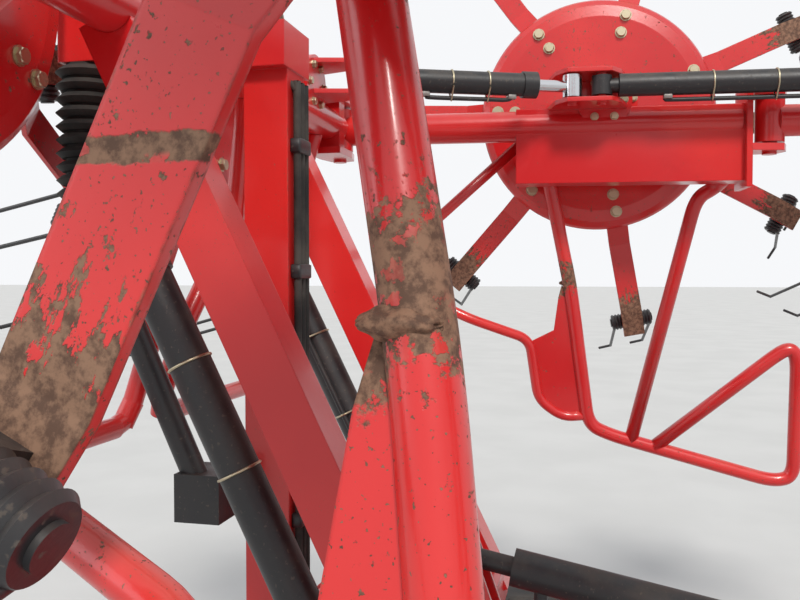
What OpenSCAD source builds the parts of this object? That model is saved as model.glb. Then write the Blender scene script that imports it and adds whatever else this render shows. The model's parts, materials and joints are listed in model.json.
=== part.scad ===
// Trailed hay tedder with six rotors, folded for the road.
// Row frame: +X right, +Y forward (towing eye), +Z up, ground at Z = 0, millimetres.
// Folded pose: the lift frame stands up, both wings lie forward beside the drawbar.

/* [Folding geometry] */
// height of the rotor axis line above ground, folded
beam_z = 2150; // [1900:5:2300]
// height of the lift pivot above ground
pivot_z = 900; // [700:5:1100]
// lift pivot ahead of the mast line
pivot_y = 170; // [100:5:250]
// rotor axis line relative to the mast line
beam_y = -15; // [-80:5:60]
// wing hinge from the middle plane
hinge_x = 900; // [850:5:960]
// wing angle at rest, 90 is straight forward
fold = 85; // [80:1:89]
// distance between neighbouring rotors at work
rotor_pitch = 1120; // [1100:5:1160]
// outer hinge beyond the first wing rotor
outer_gap = 460; // [440:5:480]
// shift of the whole machine that centres its length on the origin
row_y = -1206; // [-1400:1:-900]

/* [Tubes] */
// diameter of the rotor frame tubes
beam_d = 88.9; // [76:0.1:120]
// frame tube axis ahead of the rotor axes, at work
tube_drop = 65; // [40:5:100]
// diameter of the guard tubes
guard_d = 42.4; // [33:0.1:60]
// width of the lift struts seen from the side
strut_w = 90; // [60:5:120]
// width of the lift struts seen from behind
strut_t = 80; // [60:5:84]
// lift struts from the middle plane
strut_x = 310; // [290:5:330]

/* [Rotors] */
// radius of the pan disc
disc_r = 358; // [300:1:400]
// disc top below the rotor frame axis
disc_drop = 170; // [160:5:200]
// width of a tine arm bar
arm_w = 65; // [50:1:80]
// thickness of a tine arm bar
arm_t = 10; // [6:1:14]
// radius where the tine coils sit
coil_r = 668; // [620:1:690]
// wire diameter of a tine
wire_d = 9.5; // [8:0.5:12]
// straight length of a tine leg
leg_len = 290; // [220:5:360]

/* [Wheels] */
// radius of a transport tyre
tyre_r = 355; // [320:5:400]
// width of a transport tyre
tyre_w = 250; // [180:5:300]
// transport wheel from the middle plane
wheel_x = 950; // [850:5:1050]
// transport axle ahead of the mast line
axle_y = 550; // [300:5:800]
// radius of a gauge wheel
gauge_r = 200; // [180:5:205]
// width of a gauge wheel
gauge_w = 145; // [120:5:150]

/* [Chassis] */
// side of the square drawbar tube
draw_w = 150; // [120:5:180]
// middle height of the drawbar tube
draw_z = 715; // [650:5:720]
// height of the towing eye
eye_z = 520; // [400:5:600]
// towing eye ahead of the mast line
eye_y = 3080; // [2900:5:3300]
// parking leg pivot ahead of the mast line
leg_y = 2380; // [2200:5:2600]

/* [Hidden] */
$fn = 48;
arms = 7;
step = 360 / arms;
w1 = rotor_pitch * 1.5 - hinge_x;
outer_u = w1 + outer_gap;
w2 = w1 + rotor_pitch;
// turn of each rotor at rest, from the left tip of the machine to the right tip
phase = [2.3, -2.3, 8, -6.6, 12, -12];
// swing cylinder pins: on the centre beam (x, z) and on the wing (along, z)
swing_c = [600, 150];
swing_w = [w1 - 95, 130];
// outer cylinder pins: on the inner wing and beyond the outer hinge
outer_a = [w1 - 15, 130];
outer_b = [outer_u + 400, 130];
cyl_v = -20;
// lift cylinder pins (y, z): chassis, lift frame
lift_a = [330, 1050];
lift_b = [-25, 1765];
// tilt of the lift struts from upright
strut_top = [-35, 2085];
strut_tilt = 26;

red = [0.72, 0.05, 0.05];
dark = [0.08, 0.08, 0.09];
steel = [0.55, 0.55, 0.56];

// places

module row() translate([0, row_y, 0]) children();

module at_beam() row() translate([0, beam_y, beam_z]) rotate([-90, 0, 0]) children();

// structure of one wing, the left one mirrored
module at_wing(side) at_beam() mirror([side < 0 ? 1 : 0, 0, 0])
    translate([hinge_x, 0, 0]) rotate([0, -fold, 0]) children();

// rotors of one wing, never mirrored, so that all arms interleave
module at_rotor(i) {
  side = i < 3 ? -1 : 1;
  n = i < 3 ? 2 - i : i - 3;
  if (n == 0) at_beam() translate([side * rotor_pitch / 2, 0, 0]) children();
  else at_beam() translate([side * hinge_x, 0, 0]) rotate([0, -side * fold, 0])
      translate([side * (n == 1 ? w1 : w2), 0, 0]) children();
}

// a round bar from p to q
module bar(p, q, r) {
  d = q - p;
  len = norm(d);
  translate(p) rotate([0, acos(d[2] / len), atan2(d[1], d[0])]) cylinder(r = r, h = len);
}

// direction from point k to the next one, and the angle of the bend at point k
function dir(l, k) = (l[k + 1] - l[k]) / norm(l[k + 1] - l[k]);
function turn(l, k) = acos(max(-1, min(1, dir(l, k - 1) * dir(l, k))));

// the same line with each bend sharper than 40 degrees laid round in two to four steps
function ease_cut(l, k, c) = min(c, 0.42 * norm(l[k] - l[k - 1]), 0.42 * norm(l[k + 1] - l[k]));
function eased(l, c) = [for (k = [0:len(l) - 1])
  if (k == 0 || k == len(l) - 1 || turn(l, k) < 40) l[k]
  else for (t = turn(l, k) > 100 ? [0, 0.33, 0.67, 1] : turn(l, k) > 80 ? [0, 0.5, 1] : [0, 1])
    l[k] + (dir(l, k) * t * t - dir(l, k - 1) * (1 - t) * (1 - t)) * ease_cut(l, k, c)];

// a bent tube through the points of a list: every second leg is a little thinner and starts inside its neighbours,
// and the last leg may be thinner still, where it ends in another tube
module tube_path(pts, r, last = 0) {
  l = eased(pts, 2.2 * r);
  n = len(l);
  for (k = [0:n - 2]) {
    thick = k % 2 == 0;
    back = k > 0 && thick ? r * tan(turn(l, k) / 2) : 0;
    ahead = k < n - 2 && thick ? r * tan(turn(l, k + 1) / 2) : 0;
    bar(l[k] - dir(l, k) * back, l[k + 1] + dir(l, k) * ahead, k == n - 2 && last > 0 ? last : thick ? r : r * 0.94);
  }
}

// flat plate whose outline is drawn in Y and Z, from x0, t thick
module plate_yz(x0, t, pts) translate([x0, 0, 0]) rotate([90, 0, 90]) linear_extrude(height = t) polygon(pts);

// flat plate whose outline is drawn in X and Z, from y0, t thick
module plate_xz(y0, t, pts) translate([0, y0 + t, 0]) rotate([90, 0, 0]) linear_extrude(height = t) polygon(pts);

// flat plate whose outline is drawn in X and Y, from z0, t thick
module plate_xy(z0, t, pts) translate([0, 0, z0]) linear_extrude(height = t) polygon(pts);

// chassis

module drawbar() color(red) row() {
  difference() {
    union() {
      translate([-draw_w / 2, 60, draw_z - draw_w / 2]) cube([draw_w, 2390, draw_w]);
      plate_yz(-draw_w / 2, draw_w, [[2440, 640], [2440, 790], [2990, eye_z + 45], [2990, eye_z - 45]]);
      // cross box under the lift cylinders
      translate([-385, 290, 650]) cube([770, 130, 130]);
      // pivot forks and cylinder seats
      for (s = [-1, 1]) {
        plate_yz(s > 0 ? 246 : -262, 16, fork_plate);
        plate_yz(s > 0 ? 358 : -374, 16, seat_plate);
        translate([s > 0 ? 240 : -380, 290, 770]) cube([140, 130, 20]);
      }
      for (s = [-1, 1]) translate([s * 250 - 20, 75, 700]) cube([40, 240, 60]);
      translate([-262, 75, 690]) cube([524, 90, 90]);
      // pivot pin and the lower cylinder pins
      translate([-270, pivot_y, pivot_z]) rotate([0, 90, 0]) cylinder(r = 24.6, h = 540);
      for (s = [-1, 1]) translate([s > 0 ? 250 : -376, lift_a[0], lift_a[1]]) rotate([0, 90, 0]) cylinder(r = 15, h = 126);
      // axle beam with drop legs
      translate([-815, axle_y - 55, 570]) cube([1630, 110, 90]);
      for (s = [-1, 1]) {
        translate([s > 0 ? 735 : -815, axle_y - 50, 300]) cube([80, 100, 300]);
        translate([s > 0 ? 735 : -1010, axle_y, tyre_r]) rotate([0, 90, 0]) cylinder(r = 25, h = 275);
      }
      // towing eye: shank and ring
      translate([0, 2960, eye_z]) rotate([-90, 0, 0]) cylinder(r = 32, h = eye_y - 2960 - 40);
      translate([0, eye_y, eye_z - 20]) cylinder(r = 52, h = 40);
      // leg bracket
      translate([70, leg_y - 60, 655]) cube([50, 120, 120]);
      translate([110, leg_y, draw_z]) rotate([0, 90, 0]) cylinder(r = 16, h = 90);
    }
    translate([0, eye_y, eye_z - 30]) cylinder(r = 20.5, h = 60);
  }
}

fork_plate = [[75, 760], [75, 850], [118, 925], [150, 955], [290, 1085], [330, 1098], [372, 1078], [380, 1040], [330, 960], [420, 780], [420, 690], [290, 690]];
seat_plate = [[290, 700], [290, 1050], [300, 1085], [330, 1098], [360, 1085], [378, 1050], [420, 780], [420, 700]];

// set cylinder beside the drawbar, with its ports below
set_rear = [545, 1197];
set_front = [1240, 1069];

module setting_cylinder() color(dark) row() translate([230, 0, 0]) difference() {
  union() {
    bar([0, 625, 1182], [0, 1180, 1080], 30);
    bar([0, 560, 1194], [0, 630, 1181], 16);
    translate([-22, set_rear[0], set_rear[1]]) rotate([0, 90, 0]) cylinder(r = 28, h = 44);
    bar([0, 1170, 1082], [0, 1225, 1072], 22);
    translate([-22, set_front[0], set_front[1]]) rotate([0, 90, 0]) cylinder(r = 28, h = 44);
    for (d = [[670, 1173], [1120, 1091]]) translate([0, d[0], d[1] - 52]) cylinder(r = 11, h = 40);
  }
  for (p = [set_rear, set_front]) translate([-30, p[0], p[1]]) rotate([0, 90, 0]) cylinder(r = 12.3, h = 60);
}

// posts that carry the set cylinder
module cylinder_posts() color(red) row() for (p = [[set_rear[0], set_rear[1], 80], [set_front[0], set_front[1], -45]]) {
  // p holds the pin's Y and Z and how far the foot starts ahead of the pin
  for (x = [196, 256])
    plate_yz(x, 8, [[p[0] + p[2], 780], [p[0] - 28, p[1]], [p[0] - 20, p[1] + 20], [p[0] + 20, p[1] + 20], [p[0] + 28, p[1]], [p[0] + p[2] + 95, 780]]);
  translate([75.3, p[0] + p[2] - 5, 765]) cube([190, 105, 24]);
  translate([190, p[0], p[1]]) rotate([0, 90, 0]) cylinder(r = 12, h = 80);
}

// wheels

module road_wheel(side) color(dark) row() translate([side * wheel_x, axle_y, tyre_r]) rotate([0, 90, 0])
  rotate_extrude() polygon([[25.8, -60], [70, -60], [80, -20], [140, -20], [150, -90], [165, -110], [200, -tyre_w / 2], [300, -tyre_w / 2], [340, -105], [tyre_r, -60], [tyre_r, 60], [340, 105], [300, tyre_w / 2], [200, tyre_w / 2], [165, 110], [150, 90], [150, 0], [80, 0], [70, 60], [25.8, 60]]);

module gauge_wheel(i) color(dark) at_rotor(i) translate([0, -90, -505]) rotate([0, 90, 0])
  rotate_extrude() polygon([[10.8, -62], [30, -62], [35, -30], [90, -30], [100, -58], [120, -gauge_w / 2], [165, -gauge_w / 2], [188, -55], [gauge_r, -25], [gauge_r, 25], [188, 55], [165, gauge_w / 2], [120, gauge_w / 2], [100, 58], [90, 30], [35, 30], [30, 62], [10.8, 62]]);

// parking leg

module parking_leg() color(red) row() {
  difference() {
    union() {
      bar([160, leg_y, draw_z], [160, leg_y + 55, 30], 34);
      translate([160 - 30, leg_y, draw_z]) rotate([0, 90, 0]) cylinder(r = 48, h = 60);
    }
    translate([100, leg_y, draw_z]) rotate([0, 90, 0]) cylinder(r = 16.4, h = 120);
  }
  translate([85, leg_y - 25, 0]) cube([150, 160, 12]);
  translate([115, leg_y + 20, 12]) cube([90, 70, 30]);
}

// rotor gearbox with the post that carries the gauge wheel fork
module gearbox() {
  translate([0, 0, -142]) cylinder(r = 100, h = 122);
  translate([0, 0, -20]) cylinder(r = 78, h = 62);
  translate([0, 0, -290]) cylinder(r = 20, h = 150);
  translate([-96, -42, -292]) cube([192, 84, 26]);
  for (x = [-96, 84]) plate_yz(x, 12, [[-42, -292], [42, -292], [42, -270], [-42, -270]]);
  for (x = [-96, 84]) plate_yz(x, 12, [[-42, -270], [42, -270], [-62, -520], [-118, -520]]);
  translate([-96, -90, -505]) rotate([0, 90, 0]) cylinder(r = 10, h = 192);
}

// lift frame

module lift_tower() color(red) row() {
  difference() {
    union() {
      // pivot tube, side members and lower cross tube
      translate([-236, pivot_y, pivot_z]) rotate([0, 90, 0]) cylinder(r = 48, h = 472);
      for (s = [-1, 1]) plate_yz(s * 190 - 40, 80, [[160, 862], [160, 938], [500, 1000], [540, 1000], [540, 930], [500, 916]]);
      translate([-strut_x - strut_t / 2 - 6, 470, 920]) cube([2 * strut_x + strut_t + 12, 85, 85]);
      // mast and struts
      translate([-45, 85, 880]) cube([90, 90, 1230]);
      for (s = [-1, 1]) translate([s * strut_x, strut_top[0], strut_top[1]]) rotate([strut_tilt, 0, 0])
        translate([-strut_t / 2, -strut_w / 2, -1275]) cube([strut_t, strut_w, 1258]);
      // head that joins mast and beam
      translate([-70, 10, 2045]) cube([140, 168, 85]);
      // lugs of the lift cylinders' rod eyes
      for (s = [-1, 1]) for (x = [-39, 27]) translate([s * strut_x + x, 0, 0])
        plate_yz(0, 12, [[-25 - 32, 1765], [-25 - 22, 1742], [-25, 1733], [30, 1742], [150, 1700], [50, 1905], [-15, 1798], [-50, 1790]]);
      for (s = [-1, 1]) for (x = [-47, 39]) translate([s * strut_x + x, lift_b[0], lift_b[1]]) rotate([0, 90, 0]) cylinder(r = 18, h = 8);
    }
    translate([-300, pivot_y, pivot_z]) rotate([0, 90, 0]) cylinder(r = 25, h = 600);
    translate([-900, beam_y, beam_z - tube_drop]) rotate([0, 90, 0]) cylinder(r = beam_d / 2 + 0.3, h = 1800);
  }
}

module centre_beam() color(red) at_beam() {
  // tube and the two rotor gearboxes
  translate([-835, tube_drop, 0]) rotate([0, 90, 0]) cylinder(r = beam_d / 2, h = 1670);
  for (s = [-1, 1]) translate([s * rotor_pitch / 2, 0, 0]) gearbox();
  // middle gearbox between the discs
  translate([-110, -90, -150]) cube([220, 200, 170]);
  translate([boot_x - 80, -10, boot_z - 40]) cube([120, 118, 135]);
  // hinge forks with their pins
  for (s = [-1, 1]) {
    for (y = [tube_drop - 88, tube_drop + 68]) translate([0, y, 0])
      rotate([-90, 0, 0]) linear_extrude(height = 20) polygon([[s * 740, -50], [s * 740, 50], [s * 860, 50], [s * 930, 36], [s * 945, 0], [s * 930, -36], [s * 860, -50]]);
    translate([s * 790 - 25, tube_drop - 88, -40]) cube([50, 176, 80]);
    translate([s * hinge_x, tube_drop - 95, 0]) rotate([-90, 0, 0]) cylinder(r = 20, h = 190);
  }
  // seats of the swing cylinders
  for (s = [-1, 1]) {
    for (y = [cyl_v - 46, cyl_v + 34]) translate([0, y, 0]) rotate([-90, 0, 0]) linear_extrude(height = 12)
      polygon([[s * 520, 20], [s * 560, -140], [s * 575, -176], [s * 600, -186], [s * 625, -176], [s * 640, -140], [s * 690, 20]]);
    translate([s * swing_c[0], cyl_v - 50, swing_c[1]]) rotate([-90, 0, 0]) cylinder(r = 14, h = 100);
    translate([s * 605 - 75, 0, -20]) cube([150, 60, 40]);
    translate([s * 605 - 85, cyl_v - 46, -20]) cube([170, 92, 30]);
  }
}

// ribbed boot of the drive shaft
boot_x = 150;
boot_z = -165;
module drive_boot() color(dark) at_beam() translate([boot_x, 108.4, boot_z]) rotate([-90, 0, 0]) {
  cylinder(r = 42, h = 262);
  for (k = [0:9]) translate([0, 0, 6 + k * 25]) rotate_extrude() polygon([[30, 0], [50, 0], [61, 9.5], [50, 19], [30, 19]]);
}

// input shaft from the boot down to its bearing on the mast
module input_shaft() color(steel) row() {
  a = [boot_x, beam_y + boot_z, beam_z - 108.4 - 262.5];
  translate(a - [0, 0, 60]) cylinder(r = 34, h = 60);
  bar(a - [0, 0, 40], [120, 30, 1240], 24);
  translate([45.4, -10, 1190]) cube([110, 90, 90]);
}

module centre_guard() color(red) at_beam() {
  for (s = [-1, 1]) {
    difference() {
      tube_path([[s * 700, 70, 0], [s * 700, 260, -60], [s * 680, 560, -120], [s * 560, 800, -150], [s * 60, 800, -150], [s * 60, 620, -90], [s * 195, 380, -30], [s * 195, 70, 0]], guard_d / 2);
      translate([-900, tube_drop, 0]) rotate([0, 90, 0]) cylinder(r = beam_d / 2 + 0.3, h = 1800);
    }
  }
}

// wings

module inner_beam(side) color(red) at_wing(side) {
  difference() {
    union() {
      // hinge barrel, tube, box frame around the first rotor, end flange
      translate([0, tube_drop - 62, 0]) rotate([-90, 0, 0]) cylinder(r = 40, h = 124);
      translate([20, tube_drop, 0]) rotate([0, 90, 0]) cylinder(r = beam_d / 2, h = outer_u - 100);
      translate([w1 - 250, 20, -60]) cube([640, 215, 95]);
      translate([w1 + 385, -30, -80]) cube([16, 285, 140]);
      translate([w1, 0, 0]) gearbox();
      // outer hinge fork
      for (y = [tube_drop - 88, tube_drop + 68]) translate([0, y, 0]) rotate([-90, 0, 0]) linear_extrude(height = 20)
        polygon([[w1 + 390, -55], [outer_u + 30, -38], [outer_u + 45, 0], [outer_u + 30, 38], [w1 + 390, 55]]);
      translate([outer_u, tube_drop - 95, 0]) rotate([-90, 0, 0]) cylinder(r = 20, h = 190);
      // two bracket plates that hold both cylinder pins
      for (y = [cyl_v - 46, cyl_v + 34]) translate([0, y, 0]) rotate([-90, 0, 0]) linear_extrude(height = 12)
        polygon([[w1 - 160, -20], [w1 - 140, -120], [w1 - 110, -164], [w1 + 10, -164], [w1 + 40, -120], [w1 + 70, -20]]);
      translate([w1 - 60, -66, -20]) cube([120, 92, 60]);
      for (u = [w1 - 95, w1 - 15]) for (y = [cyl_v - 54, cyl_v + 46]) translate([u, y, 130]) rotate([-90, 0, 0]) cylinder(r = 14, h = 8);
      translate([w1 - 15, cyl_v - 40, 130]) rotate([-90, 0, 0]) cylinder(r = 14, h = 80);
    }
    translate([0, -60, 0]) rotate([-90, 0, 0]) cylinder(r = 20.5, h = 300);
  }
}

module inner_guard(side) color(red) at_wing(side) translate([w1, 0, 0]) difference() {
  inner_guard_tubes();
  translate([-250.3, 19.7, -60.3]) cube([640.6, 215.6, 95.6]);
}

module inner_guard_tubes() {
  g = guard_d / 2;
  // tubes follow the points measured from the photograph: along, ahead, height
  tube_path([[-150, 205, -40], [-147, 240, -110], [-80, 545, -175], [-17, 985, -262], [60, 1020, -268], [560, 1156, -290], [622, 1140, -288], [609, 760, -217], [590, 728, -211], [560, 735, -212], [190, 1055, -273.7]], g, g * 0.85);
  tube_path([[362, 205, -40], [340, 238, -110], [285, 270, -122], [118, 1036, -270.6]], g, g * 0.85);
  tube_path([[-73.7, 589, -183.7], [-205, 661, -200], [-178, 904, -246], [-100, 962, -258], [-21.4, 954, -255.9]], g * 0.75);
  tube_path([[-199.6, 709.6, -209.2], [-380, 614, -190], [-700, 500, -165], [-222, 173, -50]], g * 0.75);
  // panel between the first tube and the rail
  translate([0, 545, -177]) rotate([-11.1, 0, 0]) translate([0, -545, -3]) linear_extrude(height = 6)
    polygon([[-76, 590], [-200, 672], [-178, 910], [-102, 972], [-22, 962]]);
}

module outer_beam(side) color(red) at_wing(side) {
  difference() {
    union() {
      translate([outer_u, tube_drop - 62, 0]) rotate([-90, 0, 0]) cylinder(r = 40, h = 124);
      translate([outer_u + 20, tube_drop, 0]) rotate([0, 90, 0]) cylinder(r = beam_d / 2, h = w2 - outer_u + 130);
      translate([w2, 0, 0]) gearbox();
      translate([w2 - 150, 20, -60]) cube([290, 170, 95]);
      // lugs of the outer cylinder's rod eye
      for (y = [cyl_v - 46, cyl_v + 34]) translate([0, y, 0]) rotate([-90, 0, 0]) linear_extrude(height = 12)
        polygon([[outer_b[0] - 60, -20], [outer_b[0] - 32, -150], [outer_b[0], -164], [outer_b[0] + 32, -150], [outer_b[0] + 120, -20]]);
      translate([outer_b[0] - 40, -66, -20]) cube([140, 92, 45]);
      for (y = [cyl_v - 54, cyl_v + 46]) translate([outer_b[0], y, 130]) rotate([-90, 0, 0]) cylinder(r = 14, h = 8);
    }
    translate([outer_u, -60, 0]) rotate([-90, 0, 0]) cylinder(r = 20.5, h = 300);
  }
}

module outer_guard(side) color(red) at_wing(side) translate([w2, 0, 0]) difference() {
  tube_path([[-70, 105, -50], [-95, 215, -110], [-160, 560, -178], [-300, 930, -250], [-200, 985, -262], [380, 960, -258], [330, 560, -178], [110, 215, -110], [90, 105, -50]], guard_d / 2);
  translate([-150.3, 19.7, -60.3]) cube([290.6, 170.6, 95.6]);
}

// rotors

module rotor_disc(i) color(red) at_rotor(i) rotate([0, 0, phase[i]]) {
  difference() {
    union() {
      rotate_extrude() polygon([[22, -disc_drop + 20], [58, -disc_drop + 20], [66, -disc_drop], [300, -disc_drop], [335, -disc_drop - 6], [352, -disc_drop - 20], [disc_r, -disc_drop - 30], [351, -disc_drop - 33], [345, -disc_drop - 23], [330, -disc_drop - 12], [300, -disc_drop - 6], [60, -disc_drop - 6], [58, -disc_drop - 40], [22, -disc_drop - 40]]);
      for (k = [0:arms - 1]) rotate([0, 0, k * step]) arm();
    }
    translate([0, 0, -230]) cylinder(r = 22, h = 100);
  }
}

// one bent flat arm: stations of radius and height of its middle line
arm_line = [[240, -178], [296, -179], [352, -216], [410, -246], [620, -256], [705, -284]];

// point k of a line moved sideways by h, so that the bent plate keeps its thickness
function side_point(l, k, h) =
  let (a = dir(l, max(k - 1, 0)), b = dir(l, min(k, len(l) - 2)), m = (a + b) / norm(a + b))
  l[k] + [-m[1], m[0]] * h / (m * b);

module arm() translate([0, arm_w / 2, 0]) rotate([90, 0, 0]) linear_extrude(height = arm_w)
  polygon(concat([for (k = [0:len(arm_line) - 1]) side_point(arm_line, k, -arm_t / 2)],
    [for (k = [len(arm_line) - 1:-1:0]) side_point(arm_line, k, arm_t / 2)]));

module rotor_tines(i) color(dark) at_rotor(i) rotate([0, 0, phase[i]])
  for (k = [0:arms - 1]) rotate([0, 0, k * step]) tine_pair();

// double tine: two coils on a clamp under the arm's end, two legs with bent tips
tip = arm_line[5] - arm_line[4];
tip_tilt = -atan2(tip[1], tip[0]);
tip_z = arm_line[4][1] + (coil_r - arm_line[4][0]) * tip[1] / tip[0];

module tine_pair() {
  translate([coil_r, 0, tip_z]) rotate([0, tip_tilt, 0]) {
    translate([-24, -14, -arm_t / 2 - 34.3]) cube([48, 28, 34]);
    translate([0, -66, -arm_t / 2 - 30]) rotate([-90, 0, 0]) cylinder(r = 13, h = 132);
    for (y = [-62, 12]) translate([0, y, -arm_t / 2 - 30]) rotate([-90, 0, 0]) rotate_extrude()
      polygon([[10, 0], [22, 0], [26, 5], [22, 10], [26, 15], [22, 20], [26, 25], [22, 30], [26, 35], [22, 40], [26, 45], [22, 50], [10, 50]]);
  }
  for (s = [-1, 1]) {
    p = [coil_r + 8, s * 56, tip_z - 36];
    q = p + [leg_len * sin(16), 0, -leg_len * cos(16)];
    t = q + [6, -38, -38];
    bar(p, q, wire_d / 2);
    bar(q - (t - q) * 0.05, t, wire_d / 2 - 0.3);
  }
}

// cylinders

// barrel with a closed eye, along +X of its own frame, from the pin outward
module barrel(len, r, rod_r, pin_r) difference() {
  union() {
    translate([45, 0, 0]) rotate([0, 90, 0]) cylinder(r = r, h = len - 45);
    translate([len - 40, 0, 0]) rotate([0, 90, 0]) cylinder(r = r + 5, h = 40);
    translate([0, -r * 0.85, 0]) rotate([-90, 0, 0]) cylinder(r = 28, h = r * 1.7);
    translate([20, 0, 0]) rotate([0, 90, 0]) cylinder(r = 20, h = 40);
  }
  translate([70, 0, 0]) rotate([0, 90, 0]) cylinder(r = rod_r + 0.8, h = len);
  translate([0, -60, 0]) rotate([-90, 0, 0]) cylinder(r = pin_r + 0.3, h = 120);
}

// rod that ends in an eye at full, measured from the barrel's pin
module rod(start, full, rod_r, eye_w) {
  translate([start, 0, 0]) rotate([0, 90, 0]) cylinder(r = rod_r, h = full - start);
  translate([full, -eye_w / 2, 0]) rotate([-90, 0, 0]) cylinder(r = 27, h = eye_w);
}

// lift cylinder frame: +X runs from the chassis pin to the lift pin, +Y across the machine
module at_lift_cyl(side) row() translate([side * strut_x, lift_a[0], lift_a[1]])
  rotate([atan2(lift_b[1] - lift_a[1], lift_b[0] - lift_a[0]), 0, 0]) rotate([0, 0, 90]) children();

lift_len = norm(lift_b - lift_a);
module lift_barrel(side) color(dark) at_lift_cyl(side) barrel(lift_len - 90, 35.5, 22, 15);
module lift_rod(side) color(steel) at_lift_cyl(side) rod(lift_len - 520, lift_len, 22, 46);

// swing cylinder frame: +X runs from the centre seat to the wing pin
swing_pw = [hinge_x + swing_w[0] * cos(fold) - swing_w[1] * sin(fold), swing_w[0] * sin(fold) + swing_w[1] * cos(fold)];
swing_len = norm(swing_pw - swing_c);
module at_swing_cyl(side) at_beam() mirror([side < 0 ? 1 : 0, 0, 0])
  translate([swing_c[0], cyl_v, swing_c[1]])
  rotate([0, -atan2(swing_pw[1] - swing_c[1], swing_pw[0] - swing_c[0]), 0]) children();
module swing_barrel(side) color(dark) at_swing_cyl(side) barrel(swing_len - 105, 31, 16, 14);
module swing_rod(side) color(steel) at_swing_cyl(side) rod(swing_len - 470, swing_len, 16, 60);

outer_len = norm(outer_b - outer_a);
module at_outer_cyl(side) at_wing(side) translate([outer_a[0], cyl_v, outer_a[1]]) children();
module outer_barrel(side) color(dark) at_outer_cyl(side) barrel(outer_len - 240, 31, 16, 14);
module outer_rod(side) color(steel) at_outer_cyl(side) rod(outer_len - 620, outer_len, 16, 60);

drawbar();
setting_cylinder();
cylinder_posts();
road_wheel(-1);  // wheel_left
road_wheel(1);  // wheel_right
parking_leg();
lift_tower();
centre_beam();
drive_boot();
input_shaft();
centre_guard();
inner_beam(-1);  // inner_beam_left
inner_beam(1);  // inner_beam_right
inner_guard(-1);  // inner_guard_left
inner_guard(1);  // inner_guard_right
outer_beam(-1);  // outer_beam_left
outer_beam(1);  // outer_beam_right
outer_guard(-1);  // outer_guard_left
outer_guard(1);  // outer_guard_right
rotor_disc(0);  // rotor_disc_1
rotor_disc(1);  // rotor_disc_2
rotor_disc(2);  // rotor_disc_3
rotor_disc(3);  // rotor_disc_4
rotor_disc(4);  // rotor_disc_5
rotor_disc(5);  // rotor_disc_6
rotor_tines(0);  // rotor_tines_1
rotor_tines(1);  // rotor_tines_2
rotor_tines(2);  // rotor_tines_3
rotor_tines(3);  // rotor_tines_4
rotor_tines(4);  // rotor_tines_5
rotor_tines(5);  // rotor_tines_6
gauge_wheel(0);  // gauge_wheel_1
gauge_wheel(1);  // gauge_wheel_2
gauge_wheel(2);  // gauge_wheel_3
gauge_wheel(3);  // gauge_wheel_4
gauge_wheel(4);  // gauge_wheel_5
gauge_wheel(5);  // gauge_wheel_6
lift_barrel(-1);  // lift_barrel_left
lift_barrel(1);  // lift_barrel_right
lift_rod(-1);  // lift_rod_left
lift_rod(1);  // lift_rod_right
swing_barrel(-1);  // swing_barrel_left
swing_barrel(1);  // swing_barrel_right
swing_rod(-1);  // swing_rod_left
swing_rod(1);  // swing_rod_right
outer_barrel(-1);  // outer_barrel_left
outer_barrel(1);  // outer_barrel_right
outer_rod(-1);  // outer_rod_left
outer_rod(1);  // outer_rod_right
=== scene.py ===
# %% [markdown]
# # A trailed hay tedder, folded for the road
# Six rotors with springy tines hang on a tube frame. For the road the frame stands up behind the drawbar and
# its two wings lie forward beside it. The tubes, arms and joints come from the CAD model, and only the guards
# of the inner wings are bent anew here. This lesson gives all of it paint, wear and small parts, and looks at
# it from beside the right-hand wing.

# %% Load the construction
import json
import math

import bpy
import numpy as np
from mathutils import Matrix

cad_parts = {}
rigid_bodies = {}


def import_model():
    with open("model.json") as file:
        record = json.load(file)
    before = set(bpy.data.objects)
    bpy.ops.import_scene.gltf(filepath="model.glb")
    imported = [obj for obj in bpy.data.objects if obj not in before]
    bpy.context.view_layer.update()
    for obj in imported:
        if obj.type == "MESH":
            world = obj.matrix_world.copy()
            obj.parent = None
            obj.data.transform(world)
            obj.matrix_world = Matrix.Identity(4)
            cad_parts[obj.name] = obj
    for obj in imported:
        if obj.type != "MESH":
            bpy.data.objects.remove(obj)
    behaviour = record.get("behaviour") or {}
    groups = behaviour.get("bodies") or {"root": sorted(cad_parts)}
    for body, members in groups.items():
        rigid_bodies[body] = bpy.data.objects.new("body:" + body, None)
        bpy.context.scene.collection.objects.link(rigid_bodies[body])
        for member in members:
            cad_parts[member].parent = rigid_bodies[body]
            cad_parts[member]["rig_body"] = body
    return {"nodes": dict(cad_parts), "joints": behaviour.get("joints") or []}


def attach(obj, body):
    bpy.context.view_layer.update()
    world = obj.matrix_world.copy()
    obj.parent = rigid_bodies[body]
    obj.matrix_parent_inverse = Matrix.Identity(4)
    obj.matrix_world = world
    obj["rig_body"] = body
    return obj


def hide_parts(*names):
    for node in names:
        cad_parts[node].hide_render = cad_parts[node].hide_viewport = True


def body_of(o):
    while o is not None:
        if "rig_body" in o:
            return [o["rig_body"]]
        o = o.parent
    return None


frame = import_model()
joints = {joint["name"]: joint for joint in frame["joints"]}
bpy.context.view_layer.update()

# %% [markdown]
# ## Camera
# The camera stands close to one tine arm of the right wing's first rotor and looks across the machine. Its
# place was found by matching the mast, the far rotor disc and the near guard tube with the photograph. A camera
# is aimed by turning its own -Z axis along the line of sight and keeping its +Y axis up. The near arm is closer
# than a camera usually draws, so its nearest distance is made smaller.

# %% Set the camera
from mathutils import Vector

EYE = (1.587, -0.446, 1.650)
SIGHT = (-0.9732, -0.2300, -0.0296)
LENS = 38.3
NEAREST = 0.02

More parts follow.
